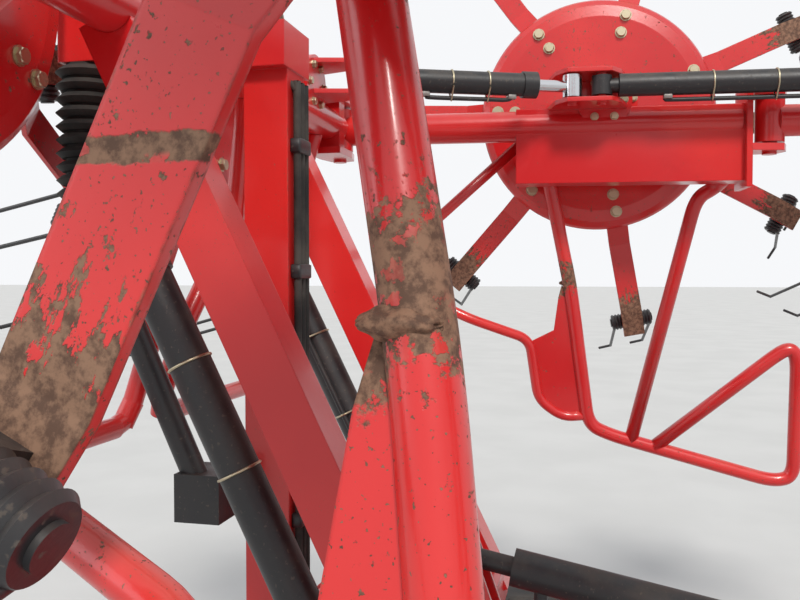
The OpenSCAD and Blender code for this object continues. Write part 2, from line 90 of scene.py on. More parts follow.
camera = bpy.data.objects.new("camera", bpy.data.cameras.new("camera"))
bpy.context.scene.collection.objects.link(camera)
camera.location = EYE
camera.rotation_euler = Vector(SIGHT).to_track_quat("-Z", "Y").to_euler()
camera.data.lens = LENS
camera.data.clip_start = NEAREST
bpy.context.scene.camera = camera
print("camera at", EYE, "lens", LENS)

# %% [markdown]
# ## Shader sums
# A procedural finish is mostly arithmetic on masks. Wiring each Math node by hand hides the formula, so a
# small class wraps a socket, and Python's own operators add the nodes. `1 - mask * 0.5` then reads as it is
# meant. A second class holds a material while it is built, with one method that adds any node.

# %% Shader helpers
class Wire:
    """A node's output that can be used in sums."""

    def __init__(self, paint, socket):
        self.paint, self.socket = paint, socket

    def maths(self, operation, first, second):
        return self.paint.node("ShaderNodeMath", {"operation": operation}, {0: first, 1: second})

    def __add__(self, other):
        return self.maths("ADD", self, other)

    def __sub__(self, other):
        return self.maths("SUBTRACT", self, other)

    def __rsub__(self, other):
        return self.maths("SUBTRACT", other, self)

    def __mul__(self, other):
        return self.maths("MULTIPLY", self, other)

    def most(self, other):
        """The larger of two masks."""
        return self.maths("MAXIMUM", self, other)

    def rise(self, start, end):
        """0 below start, 1 above end, smooth between."""
        inputs = {"Value": self, "From Min": start, "From Max": end}
        return self.paint.node("ShaderNodeMapRange", {"interpolation_type": "SMOOTHSTEP"}, inputs)

    __radd__ = __add__
    __rmul__ = __mul__


class Paint:
    """A material under construction: one principled shader and whatever feeds it."""

    def __init__(self, name, **fixed):
        self.material = bpy.data.materials.new(name)
        self.material.use_nodes = True
        self.tree = self.material.node_tree
        self.shader = self.tree.nodes["Principled BSDF"]
        for socket, value in fixed.items():
            self.shader.inputs[socket.replace("_", " ")].default_value = value

    def node(self, kind, settings=None, inputs=None, out=0):
        """Adds a node: settings first, then the values or wires of its sockets."""
        node = self.tree.nodes.new(kind)
        for key, value in (settings or {}).items():
            setattr(node, key, value)
        for key, value in (inputs or {}).items():
            if isinstance(value, Wire):
                self.tree.links.new(value.socket, node.inputs[key])
            else:
                node.inputs[key].default_value = value
        return Wire(self, node.outputs[out])

    def feed(self, socket, wire):
        """Joins a wire to one of the shader's own sockets."""
        self.tree.links.new(wire.socket, self.shader.inputs[socket])

    def vector(self, operation, *ends):
        """Vector maths on points and directions. A dot product and a length come out as one number."""
        out = "Value" if operation in ("DOT_PRODUCT", "LENGTH") else "Vector"
        return self.node("ShaderNodeVectorMath", {"operation": operation}, dict(enumerate(ends)), out)

    def place(self, scale=(1, 1, 1), shift=(0, 0, 0)):
        """The point on the object, in metres, scaled and moved."""
        point = self.node("ShaderNodeTexCoord", out="Object")
        return self.node("ShaderNodeMapping", inputs={"Vector": point, "Scale": scale, "Location": shift})

    def radius(self, middle, axis):
        """Distance of the point from a line through the middle: the length of (P - M) x axis."""
        apart = self.vector("SUBTRACT", self.node("ShaderNodeTexCoord", out="Object"), tuple(middle))
        return self.vector("LENGTH", self.vector("CROSS_PRODUCT", apart, tuple(axis)))

    def angle(self, rotor):
        """Angle of the point round a rotor's axis, in radians: atan2 of its parts along the rotor's y and x."""
        apart = self.vector("SUBTRACT", self.node("ShaderNodeTexCoord", out="Object"), tuple(rotor.middle))
        x, y = (self.vector("DOT_PRODUCT", apart, tuple(axis)) for axis in (rotor.x, rotor.y))
        return y.maths("ARCTAN2", y, x)

    def facing(self):
        """The surface's own direction, and how far up it faces, from -1 to 1."""
        normal = self.node("ShaderNodeNewGeometry", out="Normal")
        return normal, self.node("ShaderNodeSeparateXYZ", inputs={0: normal}, out="Z")

    def noise(self, where, scale, detail=3.0, rough=0.5):
        """Cloudy noise between 0 and 1, with about `scale` blots to the metre."""
        inputs = {"Vector": where, "Scale": scale, "Detail": detail, "Roughness": rough}
        return self.node("ShaderNodeTexNoise", inputs=inputs, out="Fac")

    def blend(self, factor, first, second):
        """A mix of two colours, each a tuple or a wire."""
        colours = [c if isinstance(c, Wire) else (*c, 1.0) for c in (first, second)]
        inputs = {0: factor, 6: colours[0], 7: colours[1]}
        return self.node("ShaderNodeMix", {"data_type": "RGBA"}, inputs, out=2)

    def bump(self, height, depth, **more):
        """Relief in metres from a height between 0 and 1. more may hold the Normal that it stands on."""
        inputs = {"Height": height, "Distance": depth, **more}
        self.feed("Normal", self.node("ShaderNodeBump", inputs=inputs, out="Normal"))


print("shader helpers ready")

# %% [markdown]
# ## Rotor places
# Each rotor turns on a joint, so its middle and its axis are read from the frame and never typed in again. The
# joint stands on the disc, DISC_TOP below the middle of the frame tube, and heights are measured from that
# middle. Seven arms stand evenly round it, each rotor turned a little so that its arms pass between its
# neighbour's.

# %% Rotor frames
ARMS = 7
DISC_TOP = -0.170
ARM_TURN = (2.3, -2.3, 8.0, -6.6, 12.0, -12.0)


class Rotor:
    """The axes of one rotor: x across, y down, z along the axis towards the frame tube."""

    def __init__(self, number):
        joint = joints[f"rotor_{number}_spin"]
        self.number = number
        self.body = f"rotor_{number}"
        self.carrier = joint["parent"]
        self.z = np.array(joint["axis"], float)
        self.y = np.array((0.0, 0.0, -1.0))
        self.x = np.cross(self.y, self.z)
        self.middle = np.array(joint["pos_m"]) - DISC_TOP * self.z
        self.turn = ARM_TURN[number - 1]

    def at(self, radius, angle, height):
        """A point by its radius and its angle in degrees, from x towards y."""
        a = math.radians(angle)
        return self.middle + radius * (math.cos(a) * self.x + math.sin(a) * self.y) + height * self.z

    def on_wing(self, along, down, height):
        """A point of the wing's tubes: along runs outwards on either side of the machine."""
        side = 1 if self.middle[0] > 0 else -1
        return self.middle + side * along * self.x + down * self.y + height * self.z


rotors = [Rotor(number) for number in range(1, 7)]
near_rotor, far_rotor = rotors[4], rotors[1]
print("rotor middles", [np.round(rotor.middle, 3).tolist() for rotor in rotors])

# %% [markdown]
# ## Weathered red paint
# Farm machines are sprayed in one glossy coat. Sun bleaches it, stones knock chips out of it, and where hay
# and soil rub it the coat wears through to brown, rusting steel. Chips and pits are noise above a threshold.
# Rubbed edges are found with a Bevel node: where the rounded normal leaves the true one, there is an edge.
# The arms wear most towards their ends, and in streaks along their broad faces, so their paint also asks for a
# point's distance and angle about the rotor's axis.

# %% Wear masks
RED, FADED_RED = (0.590, 0.011, 0.014), (0.710, 0.026, 0.023)
RUST, PALE_RUST = (0.105, 0.054, 0.034), (0.270, 0.152, 0.095)
DRY_SOIL = (0.420, 0.230, 0.160)
EDGE = 0.004
ARM_WEAR = (0.49, 0.69)


def worn_patch(paint, patch, where, grain, specks):
    """Mask of a patch, which is (centre, half sizes, fray) in metres.

    It falls from 1 in the middle to 0 at the edge of an ellipsoid, |(P - C) / half| = 1. Noise frays that edge
    and leaves some islands of paint near it.
    """
    centre, half, fray = patch
    scale = [1.0 / h for h in half]
    offset = [-c / h for c, h in zip(centre, half)]
    near = paint.vector("LENGTH", paint.place(scale, offset))
    frayed = near + (grain - 0.5) * fray * 2 + (specks - 0.5) * fray
    remains = paint.noise(where, 75.0, 5.0, 0.6).rise(0.560, 0.585) * near.rise(0.25, 0.60) * 0.85
    return (1 - frayed.rise(0.75, 0.90)) * (1 - remains)


def flaked_arm(paint, rotor, normal, specks):
    """Mask of bare metal that grows along an arm, from ARM_WEAR[0] to ARM_WEAR[1] of radius.

    Its noise reads angle and radius, closer together round the axis than along the arm, which gives streaks.
    It stays on the broad faces, whose normal lies along the axis.
    """
    radius, around = paint.radius(rotor.middle, rotor.z), paint.angle(rotor)
    polar = paint.node("ShaderNodeCombineXYZ", inputs={"X": around * 50.0, "Y": radius * 26.0})
    streaks = paint.noise(polar, 1.0, 5.0, 0.68)
    facing = paint.vector("DOT_PRODUCT", normal, tuple(rotor.z))
    flakes = (streaks - 0.5) * 1.7 + (specks - 0.5) * 0.4 + radius.rise(*ARM_WEAR) * 0.80
    return flakes.rise(0.28, 0.34) * (facing * facing).rise(0.30, 0.60)


print("wear on the arms from", ARM_WEAR[0], "to", ARM_WEAR[1], "m of radius")

# %% Red paint
def red_paint(name, chips=0.35, edges=0.5, patches=(), rotor=None):
    """Red coat with soil, chips and rubbed edges, worn patches, and with a rotor the wear of its arms."""
    paint = Paint(name, Metallic=0.0, Coat_Roughness=0.12, Specular_IOR_Level=0.5)
    where = paint.place()
    cloud = paint.noise(where, 2.3, 4.0)
    grain = paint.noise(where, 55.0, 6.0, 0.65)
    specks = paint.noise(where, 170.0, 4.0, 0.6)
    normal, up = paint.facing()
    soil = up.rise(0.35, 0.95) * paint.noise(where, 9.0, 5.0).rise(0.40, 0.75) * 0.30
    coat = paint.blend(soil, paint.blend(cloud.rise(0.35, 0.65), RED, FADED_RED), DRY_SOIL)

    pits = paint.noise(where, 330.0, 2.0, 0.5).rise(0.735 - 0.07 * chips, 0.750 - 0.07 * chips)
    chipped = (grain * 0.6 + specks * 0.4).rise(0.690 - 0.10 * chips, 0.715 - 0.10 * chips)
    rounded = paint.node("ShaderNodeBevel", {"samples": 4}, {"Radius": EDGE})
    edge = (1 - paint.vector("DOT_PRODUCT", rounded, normal)).rise(0.02, 0.20)
    rubbed = edge * (grain * 0.55 + cloud * 0.45).rise(0.60 - 0.16 * edges, 0.68 - 0.12 * edges)
    bare = (pits * cloud.rise(0.35, 0.55)).most(chipped).most(rubbed)
    for patch in patches:
        bare = bare.most(worn_patch(paint, patch, where, grain, specks))
    if rotor:
        bare = bare.most(flaked_arm(paint, rotor, normal, specks))

    rust = paint.blend(paint.noise(where, 90.0, 5.0, 0.7).rise(0.38, 0.62), RUST, PALE_RUST)
    paint.feed("Base Color", paint.blend(bare, coat, rust))
    paint.feed("Roughness", 0.30 + bare * 0.50 + soil * 0.9 + (grain - 0.5) * 0.12)
    paint.feed("Coat Weight", (1 - bare) * 0.45)
    paint.bump((1 - bare) * 0.75 + grain * 0.25, 0.0006, Normal=rounded)
    return paint.material


painted = red_paint("red_paint")
print("red paint:", len(painted.node_tree.nodes), "nodes")

# %% [markdown]
# ## Where the paint is gone
# A straight band across the near arm is rubbed bare, and the guard tubes have lost their paint round the weld
# of the plate. A patch is placed from a rotor's own axes, in metres, so it lies where that rotor's parts are.

# %% Worn places
NEAR_ARM = near_rotor.turn + 2 * 360 / ARMS
BAND = (near_rotor.at(0.482, NEAR_ARM, -0.244), (0.060, 0.080, 0.0095), 0.35)
GUARD_WEAR = (((-0.080, 0.500, -0.168), (0.060, 0.060, 0.060), 1.1),
              ((-0.112, 0.540, -0.176), (0.060, 0.024, 0.042), 0.6))

guard_patches = [(rotor.on_wing(*spot), half, fray)
                 for rotor in (near_rotor, far_rotor) for spot, half, fray in GUARD_WEAR]
worn_guards = red_paint("worn_guard_paint", chips=0.85, patches=guard_patches)
arm_paints = {}
for rotor in rotors:
    bands = [BAND] if rotor is near_rotor else []
    arm_paints[rotor.body] = red_paint(f"arm_paint_{rotor.number}", 0.9, 0.8, bands, rotor)
print(len(guard_patches), "worn places on guards, and", len(arm_paints), "arm paints")

# %% [markdown]
# ## Black, rubber and bright metal
# The cylinders are sprayed black and gather grey dust. Tyres and the drive boot are matt rubber. Rods are
# chromed, and the spring steel of the tines is dark. A wheel is one CAD node, so its rim is told from its tyre
# by the distance from the axle.

# %% Other finishes
DUST = (0.130, 0.105, 0.085)
GREY_RUBBER = (0.075, 0.068, 0.060)
STAIN = (0.150, 0.085, 0.045)


def black_coat(name, tone=0.018, roughness=0.42):
    """Dark paint or oiled steel with dust where it faces up."""
    paint = Paint(name, Metallic=0.0)
    where = paint.place()
    cloud = paint.noise(where, 14.0, 5.0, 0.6)
    specks = paint.noise(where, 140.0, 4.0)
    _, up = paint.facing()
    dust = up.rise(-0.2, 0.9) * cloud.rise(0.35, 0.70) * 0.45 + specks.rise(0.62, 0.70) * 0.5
    paint.feed("Base Color", paint.blend(dust, (tone, tone, tone * 1.1), DUST))
    paint.feed("Roughness", roughness + dust * 0.5)
    paint.bump(specks, 0.0003)
    return paint.material


def bright_metal(name, tone, roughness, stain=0.3):
    """Plated or bare steel with brown stains."""
    paint = Paint(name)
    where = paint.place()
    cloud = paint.noise(where, 25.0, 6.0, 0.65)
    fine = paint.noise(where, 220.0, 3.0)
    stained = cloud.rise(0.66 - 0.2 * stain, 0.74) * stain * 2
    paint.feed("Base Color", paint.blend(stained, tone, STAIN))
    paint.feed("Metallic", 1 - stained * 0.8)
    paint.feed("Roughness", roughness + stained * 0.4 + (fine - 0.5) * 0.1)
    paint.bump(fine, 0.0001)
    return paint.material


def rubber(name, tone=0.022, rim=None):
    """Weathered rubber, greyer where dusty. rim is (axle joint, radius, colour) of a painted wheel rim."""
    paint = Paint(name, Specular_IOR_Level=0.35)
    where = paint.place()
    cloud = paint.noise(where, 8.0, 6.0, 0.6)
    fine = paint.noise(where, 160.0, 4.0)
    skin = paint.blend(cloud.rise(0.35, 0.75), (tone, tone, tone), GREY_RUBBER)
    inner = 0
    if rim:
        joint, radius, colour = rim
        inner = 1 - paint.radius(joint["pos_m"], joint["axis"]).rise(radius - 0.001, radius + 0.001)
        skin = paint.blend(inner, skin, paint.blend(fine.rise(0.60, 0.66), colour, PALE_RUST))
    paint.feed("Base Color", skin)
    paint.feed("Roughness", 0.62 + cloud * 0.3 - inner * 0.25)
    paint.bump(fine * 0.5 + cloud * 0.5, 0.0006)
    return paint.material


black = black_coat("black_steel")
spring = black_coat("spring_steel", 0.026, 0.36)
boot = rubber("boot_rubber", 0.010)
chrome = bright_metal("chrome_rod", (0.62, 0.63, 0.65), 0.16, 0.12)
steel = bright_metal("bare_steel", (0.36, 0.34, 0.32), 0.42, 0.5)
zinc = bright_metal("plated_bolts", (0.52, 0.46, 0.32), 0.38, 0.4)
print("finishes:", len(bpy.data.materials))

# %% [markdown]
# ## Finish the CAD parts
# Each CAD node keeps its shape and only swaps its material. A short table goes from the most special name to
# the most general one, and the first line whose word stands in the node's name wins.

# %% Dress the CAD nodes
RIMS = (("gauge_wheel", 0.098, RED), ("wheel", 0.166, (0.55, 0.55, 0.54)))
FINISHES = (("boot", boot), ("inner_guard", worn_guards), ("_rod_", chrome), ("barrel", black),
            ("setting", black), ("tines", spring), ("input_shaft", black), ("", painted))

for name, obj in frame["nodes"].items():
    rim = next((rim for rim in RIMS if name.startswith(rim[0])), None)
    if rim:
        material = rubber(f"tyre_{name}", rim=(joints[f"{name}_spin"], *rim[1:]))
    elif "rotor_disc" in name:
        material = arm_paints[body_of(obj)[0]]
    else:
        material = next(finish for word, finish in FINISHES if word in name)
    obj.data.materials.clear()
    obj.data.materials.append(material)
print("dressed", len(frame["nodes"]), "nodes")

# %% [markdown]
# ## Surfaces from numbers
# Every added part is a grid of points: one direction runs along it, the other round it. The whole grid is
# worked out as one array and handed to Blender, with the faces joined up row by row.

# %% Surface helpers
def mesh_piece(name, points, faces, material, body, smooth=True):
    """Makes an object of points (n, 3) and faces, dresses it and lets it ride on a body.

    Six times a closed mesh's volume is the sum of a . (b x c) over its triangles. Below 0 it is inside out.
    """
    mesh = bpy.data.meshes.new(name)
    mesh.from_pydata(points.tolist(), [], faces.tolist() if hasattr(faces, "tolist") else faces)
    mesh.polygons.foreach_set("use_smooth", [smooth] * len(mesh.polygons))
    mesh.materials.append(material)
    mesh.update()
    mesh.calc_loop_triangles()
    corners = np.zeros(3 * len(mesh.loop_triangles), dtype=np.int32)
    mesh.loop_triangles.foreach_get("vertices", corners)
    a, b, c = (np.asarray(points) - points[0])[corners.reshape(-1, 3)].transpose(1, 0, 2)
    if np.einsum("ij,ij->", a, np.cross(b, c)) < 0:
        mesh.flip_normals()
    obj = bpy.data.objects.new(name, mesh)
    bpy.context.scene.collection.objects.link(obj)
    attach(obj, body)
    return obj


def grid_faces(rows, columns):
    """Quads of a grid whose columns close into a ring: corner (r, c), (r, c+1), (r+1, c+1), (r+1, c)."""
    r, c = np.meshgrid(np.arange(rows - 1), np.arange(columns), indexing="ij")
    n = (c + 1) % columns
    low, high = r * columns, (r + 1) * columns
    return np.stack([low + c, low + n, high + n, high + c], -1).reshape(-1, 4)


def axes_about(direction):
    """Two unit vectors at right angles to a direction and to each other."""
    d = np.asarray(direction, float) / np.linalg.norm(direction)
    side = np.cross(d, (0, 0, 1) if abs(d[2]) < 0.9 else (0, 1, 0))
    side /= np.linalg.norm(side)
    return d, side, np.cross(d, side)


def smooth_line(points, steps=12):
    """A smooth curve through the points.

    Its span from B to C is a cubic that leaves B along C - A and reaches C along D - B, with A and D the points
    before and after them.
    """
    p = np.asarray(points, float)
    p = np.vstack([2 * p[0] - p[1], p, 2 * p[-1] - p[-2]])
    t = np.linspace(0, 1, steps, endpoint=False)[:, None]
    spans = [0.5 * (2 * b + (c - a) * t + (2 * a - 5 * b + 4 * c - d) * t**2 + (3 * b - a - 3 * c + d) * t**3)
             for a, b, c, d in zip(p[:-3], p[1:-2], p[2:-1], p[3:])]
    return np.vstack(spans + [p[-2:-1]])


def tube(name, line, radius, material, body, sides=12, lean=(0.31, 0.17, 0.93)):
    """Rings of cos t side + sin t other, square to the line's direction. Its ends are drawn to a point.

    lean only has to be a direction that the line never takes, because side is the direction x lean.
    """
    line = np.asarray(line, float)
    along = np.gradient(line, axis=0)
    along /= np.linalg.norm(along, axis=1, keepdims=True)
    side = np.cross(along, lean)
    side /= np.linalg.norm(side, axis=1, keepdims=True)
    other = np.cross(along, side)
    turn = np.arange(sides)[:, None] * 2 * math.pi / sides
    ring = np.cos(turn) * side[:, None] + np.sin(turn) * other[:, None]
    first, last = line[0] + ring[0] * 1e-5, line[-1] + ring[-1] * 1e-5
    rings = np.concatenate([first[None], line[:, None] + ring * radius, last[None]])
    return mesh_piece(name, rings.reshape(-1, 3), grid_faces(len(rings), sides), material, body)


print("surface helpers ready")

# %% [markdown]
# ## Bolts
# Each arm is held by a bolt near the disc's rim and another further in, and each gearbox has two rings of cap
# screws. An object for every head would be slow to handle. So one small head is worked out and repeated: a
# rotor's arm bolts are one joined mesh, and its gearbox's screws another.

# %% Bolt the arms and gearboxes
ARM_BOLTS = (0.309, 0.255)
ARM_BOLT_SIZE, SCREW_SIZE = 0.030, 0.020
# Radius, count, first angle and height of each ring of gearbox screws.
SCREW_RINGS = ((0.089, 8, 10, -0.020), (0.055, 6, 0, 0.042))


def hex_heads(name, places, size, material, body):
    """Joined hexagon heads on washers. places holds rows of point and direction; size is across corners.

    One head is rings of 12 points: the hexagon's radius is R at corners and R cos 30 at flats.
    """
    sides = 12
    turn, whole = np.arange(sides) * 2 * math.pi / sides, np.ones(sides)
    hexagon = np.where(np.arange(sides) % 2 == 0, 1.0, math.cos(math.pi / 6))
    # Radius and height of each ring, in shares of R: the washer, the hexagon and its bevelled top.
    rings = [(1.22 * whole, 0.0), (1.22 * whole, 0.18), (hexagon, 0.18), (hexagon, 0.78),
             (0.84 * whole, 0.95), (0.01 * whole, 0.95)]
    head = np.concatenate([np.stack([r * np.cos(turn), r * np.sin(turn), h * whole], -1) for r, h in rings])
    head *= size / 2
    points = [np.asarray(point) + head @ np.roll(axes_about(direction), -1, axis=0)
              for point, direction in places]
    faces = [grid_faces(len(rings), sides) + k * len(head) for k in range(len(places))]
    return mesh_piece(name, np.concatenate(points), np.concatenate(faces), material, body, smooth=False)


for rotor in rotors:
    spots = [(rotor.at(radius, rotor.turn + k * 360 / ARMS, DISC_TOP), rotor.z)
             for radius in ARM_BOLTS for k in range(ARMS)]
    hex_heads(f"{rotor.body}_arm_bolts", spots, ARM_BOLT_SIZE, zinc, rotor.body)
    caps = [(rotor.at(radius, first + k * 360 / count, height), rotor.z)
            for radius, count, first, height in SCREW_RINGS for k in range(count)]
    hex_heads(f"gearbox_bolts_{rotor.number}", caps, SCREW_SIZE, zinc, rotor.carrier)
print("bolted", len(rotors), "rotors")

# %% [markdown]
# ## Steel pipes
# Oil reaches the far end of each cylinder through a hard pipe strapped to its barrel, and black pipes climb
# the mast to the frame. A pipe is a tube along a smooth line; a strap is a tube round the barrel and the pipe.
# The barrel's pin and direction are read from its joints, and its length from its own mesh.

# %% Pipe the cylinders
PIPE, PIPE_GAP, STRAP = 0.006, 0.012, 0.0025
PIPE_FROM_PIN, PIPE_FROM_END = 0.175, 0.070
# A pipe starts this deep in its port, runs level after the turn, and is held level this far from its end.
PIPE_DIP, PIPE_TURN, PIPE_HOLD = 0.004, 0.022, 0.060
STRAP_PLACES = (0.3, 0.72)
PORT = (0.012, 0.012, 0.008)
BARRELS = (("lift", 0.0355), ("swing", 0.031), ("outer", 0.031))


def block(name, middle, half, axes, material, body):
    """A brick with rounded edges: a grid of superellipse rings, |x|^n + |y|^n = 1 with n = 8."""
    sides = 32
    turn = np.arange(sides) * 2 * math.pi / sides
    round_x = np.sign(np.cos(turn)) * np.abs(np.cos(turn)) ** 0.25
    round_y = np.sign(np.sin(turn)) * np.abs(np.sin(turn)) ** 0.25
    steps = ((1e-4, -1.0), (0.85, -1.0), (1.0, -0.85), (1.0, 0.85), (0.85, 1.0), (1e-4, 1.0))
    rings = [np.stack([size * round_x, size * round_y, np.full(sides, height)], -1) for size, height in steps]
    local = np.concatenate(rings) * np.asarray(half)
    points = np.asarray(middle) + local @ np.asarray(axes, float)
    return mesh_piece(name, points, grid_faces(len(steps), sides), material, body)


def barrel_of(kind, side):
    """Pin, direction and length of a cylinder's barrel."""
    pin = np.array(joints[f"{kind}_cylinder_{side}"]["pos_m"])
    direction = np.array(joints[f"{kind}_rod_{side}_slide"]["axis"], float)
    vertices = frame["nodes"][f"{kind}_barrel_{side}"].data.vertices
    corners = np.zeros(3 * len(vertices), dtype=np.float32)
    vertices.foreach_get("co", corners)
    return pin, direction, ((corners.reshape(-1, 3) - pin) @ direction).max()


def hard_pipe(kind, side, out, radius):
    """A pipe along a barrel on its side `out`, with a port block at each end and two straps.

    A strap follows the barrel, (r cos t, r sin t), and bulges over the pipe by a height times cos^12 t.
    """
    name = f"{kind}_barrel_{side}"
    body = body_of(frame["nodes"][name])[0]
    pin, along, reach = barrel_of(kind, side)
    out = np.asarray(out, float) - np.dot(out, along) * along
    out /= np.linalg.norm(out)
    across = np.cross(along, out)
    start, end, high = PIPE_FROM_PIN, reach - PIPE_FROM_END, radius + PIPE_GAP
    route = [(start, radius - PIPE_DIP), (start + PIPE_DIP, high - PIPE_DIP), (start + PIPE_TURN, high),
             (end - PIPE_HOLD, high), (end - PIPE_TURN, high), (end - PIPE_DIP, high - PIPE_DIP),
             (end, radius - PIPE_DIP)]
    tube(f"{name}_pipe", smooth_line([pin + a * along + h * out for a, h in route]), PIPE, black, body)
    for k, spot in enumerate((start, end)):
        middle = pin + spot * along + (radius + 0.002) * out
        block(f"{name}_port_{k}", middle, PORT, (along, across, out), steel, body)
    turn = np.linspace(0, 2 * math.pi, 25)[:, None]
    strap = (radius + 0.001) * (np.cos(turn) * out + np.sin(turn) * across)
    strap += np.maximum(0.0, np.cos(turn)) ** 12 * (PIPE_GAP + PIPE) * out
    for k, share in enumerate(STRAP_PLACES):
        middle = pin + (start + share * (end - start)) * along
        tube(f"{name}_strap_{k}", middle + strap, STRAP, zinc, body, sides=6)


for side, inward in (("left", 1), ("right", -1)):
    for kind, radius in BARRELS:
        hard_pipe(kind, side, (inward, 0, 0) if kind == "lift" else (0, 0, -1), radius)
print("piped", 2 * len(BARRELS), "cylinders")

# %% Pipe the mast
MAST_FACE, MAST_FOOT, MAST_TOP = -1.031, 1.020, 2.020
MAST_PIPE, MAST_PITCH = 0.0075, 0.022
# A pipe's end, as steps out of the mast's face and in from its end.
PIPE_END = ((-0.004, 0.000), (0.009, 0.015), (0.011, 0.080))
CLAMP, CLAMP_OUT = (0.034, 0.011, 0.014), 0.010
LOWEST_CLAMP, HIGHEST_CLAMP = MAST_FOOT + 0.15, MAST_TOP - 0.12

for k in range(3):
    x = (k - 1) * MAST_PITCH
    line = [(x, MAST_FACE + out, MAST_FOOT + rise) for out, rise in PIPE_END]
    line += [(x, MAST_FACE + out, MAST_TOP - rise) for out, rise in reversed(PIPE_END)]
    tube(f"mast_pipe_{k}", smooth_line(line, 6), MAST_PIPE, boot, "lift_frame")
for k, z in enumerate(np.linspace(LOWEST_CLAMP, HIGHEST_CLAMP, 4)):
    block(f"mast_clamp_{k}", (0, MAST_FACE + CLAMP_OUT, z), CLAMP, np.eye(3), black, "lift_frame")
print("piped the mast")

# %% [markdown]
# ## Guard tubes of the inner wings
# The guard round each wing's first rotor is bent from steel tube, with a plate welded between the tube and its
# rail. The CAD model has it with mitred corners. Here each tube gets its true round bends and the plate its
# long pointed corner, which the photograph shows close by. The new pieces replace the CAD node and ride with
# the wing. Their corners are in millimetres along the wing, down and in height.

# %% Bend the guards
GUARD, GUARD_BEND = 0.0212, 0.055
# Each tube's name, its share of the guard's radius, and its corners.
GUARD_TUBES = (
    ("bow", 1.0, ((-162, 100, -40), (-159, 170, -110), (-80, 545, -175), (-17, 985, -262), (60, 1020, -268),
                  (560, 1156, -290), (622, 1140, -288), (609, 760, -217), (590, 728, -211), (560, 735, -212),
                  (190, 1055, -273.7))),
    ("strut", 1.0, ((362, 205, -40), (340, 238, -110), (285, 270, -122), (118, 1036, -270.6))),
    ("rail", 0.75, ((-222, 95, -40), (-700, 500, -165), (-392, 640, -150), (-207, 706, -197), (-178, 904, -246),
                    (-100, 962, -258), (-21.4, 954, -255.9))),
)
GUARD_PLATE = ((-76, 560), (-108, 533), (-118, 572), (-131, 676),
               (-205, 714), (-178, 910), (-102, 972), (-22, 962))
PLATE_TOP, PLATE_HEIGHT, PLATE_THICK = 545, -0.177, 0.006
PLATE_SLOPE = math.tan(math.radians(11.1))


def bent_line(points, bend):
    """A tube's middle line, rounded near each corner.

    Near B it is (1-t)^2 A + 2t(1-t) B + t^2 C, with A and C a bend away from B on either side, or 0.45 of the
    way to the next corner where that is nearer.
    """
    p = np.asarray(points, float)
    t = np.linspace(0, 1, 9)[:, None]
    parts = [p[:1]]
    for before, corner, after in zip(p[:-2], p[1:-1], p[2:]):
        arms = [(end - corner) * min(bend / np.linalg.norm(end - corner), 0.45) for end in (before, after)]
        parts.append((1 - t) ** 2 * (corner + arms[0]) + 2 * t * (1 - t) * corner + t**2 * (corner + arms[1]))
    return np.vstack(parts + [p[-1:]])


def plate(name, outline, through, material, body, rim=0.0015):
    """A flat plate: its outline at four depths along `through`, the outer two drawn in by rim, and two caps."""
    p = np.asarray(outline, float)
    n = len(p)
    inward = p.mean(axis=0) - p
    drawn_in = p + inward * rim / np.linalg.norm(inward, axis=1, keepdims=True)
    half = np.asarray(through, float) / 2
    shy = half * (1 - rim / np.linalg.norm(half))
    rings = np.vstack([drawn_in - half, p - shy, p + shy, drawn_in + half])
    faces = grid_faces(4, n).tolist() + [list(range(n))[::-1], list(range(3 * n, 4 * n))]
    return mesh_piece(name, rings, faces, material, body, smooth=False)


for rotor, side in ((near_rotor, "right"), (far_rotor, "left")):
    pieces = []
    for kind, share, corners in GUARD_TUBES:
        places = [rotor.on_wing(*(value / 1000 for value in corner)) for corner in corners]
        line = bent_line(places, GUARD_BEND * share)
        pieces.append(tube(f"guard_{kind}_{side}", line, GUARD * share, worn_guards, rotor.carrier,
                           sides=24, lean=rotor.z))
    outline = [rotor.on_wing(u / 1000, v / 1000, PLATE_HEIGHT - PLATE_SLOPE * (v - PLATE_TOP) / 1000)
               for u, v in GUARD_PLATE]
    through = PLATE_THICK * (rotor.z + PLATE_SLOPE * rotor.y)
    pieces.append(plate(f"guard_plate_{side}", outline, through, worn_guards, rotor.carrier))
    for piece in pieces:
        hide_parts(f"inner_guard_{side}")
print("bent two guards of", len(GUARD_TUBES), "tubes and a plate")

# %% [markdown]
# ## Weld at the guard's plate
# The plate beside each guard tube ends in a lumpy weld. Its surface is an ellipsoid whose radius is pushed
# about by sums of sines, r = 1 + 0.09 sin(3u) sin(v) + 0.05 sin(6u + 4v) + 0.05 sin(7v - 2u), which gives beads
# but no seam. Bump alone would leave its outline smooth.

# %% Weld beads
WELD_SPOT, WELD_HALF = (-0.091, 0.526, -0.187), (0.023, 0.010, 0.010)


def weld(name, middle, half, axes, material, body):
    """Rings of r (cos v, cos u sin v, sin u sin v), with u round the bead and v along it."""
    u, v = np.meshgrid(np.arange(48) * 2 * math.pi / 48, np.linspace(0.01, math.pi - 0.01, 28))
    r = 1 + 0.09 * np.sin(3 * u) * np.sin(v) + 0.05 * np.sin(6 * u + 4 * v) + 0.05 * np.sin(7 * v - 2 * u)
    local = np.stack([r * np.cos(v), r * np.cos(u) * np.sin(v), r * np.sin(u) * np.sin(v)], -1)
    points = np.asarray(middle) + local.reshape(-1, 3) * half @ np.asarray(axes, float)
    return mesh_piece(name, points, grid_faces(*u.shape), material, body)


